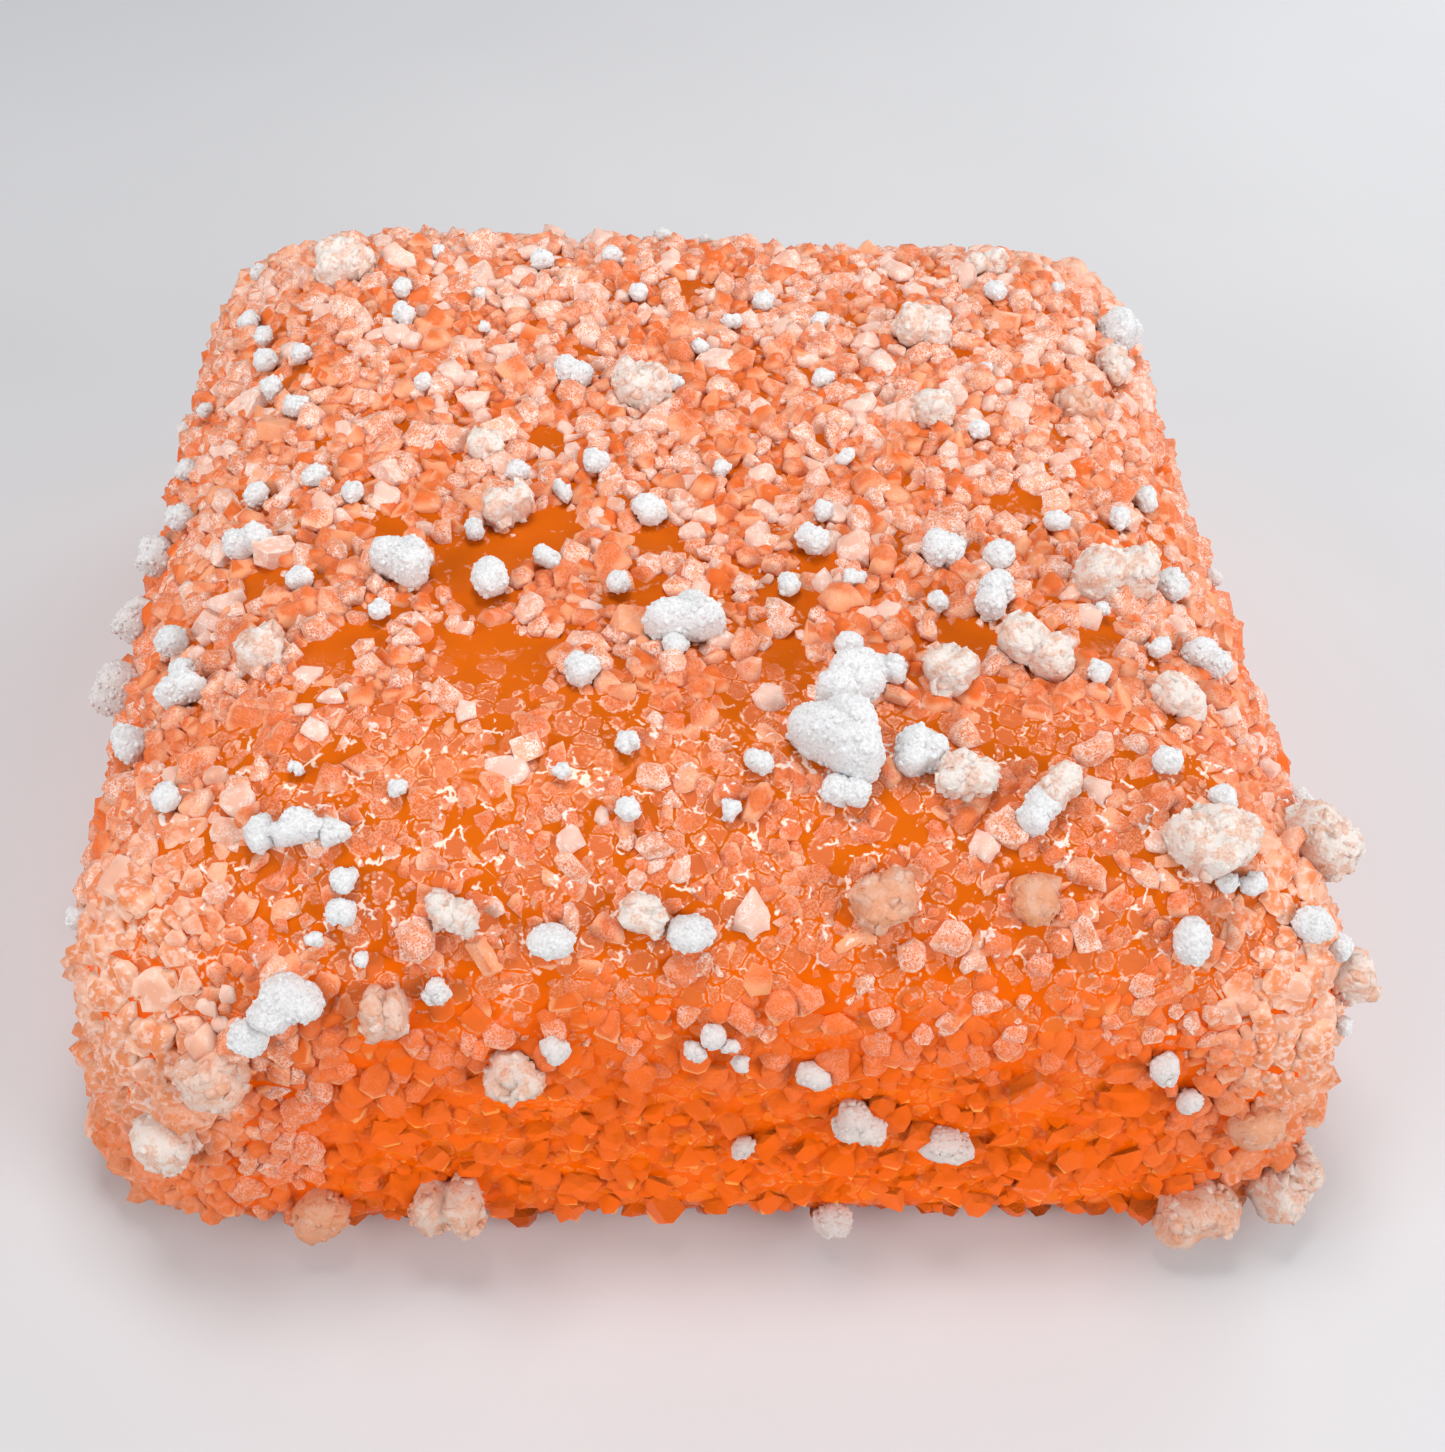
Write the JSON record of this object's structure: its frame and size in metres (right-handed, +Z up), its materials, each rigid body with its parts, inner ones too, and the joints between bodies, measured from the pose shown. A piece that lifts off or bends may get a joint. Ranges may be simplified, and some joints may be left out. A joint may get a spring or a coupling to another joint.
{
  "type": "sugared chewy candy",
  "caption": "Soft square jelly candy, orange, with a pillow-like top and a coat of sugar crystals and white sour granules.",
  "frame": {"origin": "middle of the underside, on the surface that the candy rests on", "axes": "+Z up, -Y towards the front side that the picture shows, +X to the right of that side"},
  "size_m": [0.0235, 0.0239, 0.0098],
  "materials": {
    "orange_jelly": "wet translucent fruit jelly",
    "sugar_crystal": "clear to frosty sugar crystals",
    "sour_granule": "matt white acid and sugar granules"
  },
  "bodies": {
    "root": {"gummy_slab": "orange_jelly"}
  },
  "joints": []
}
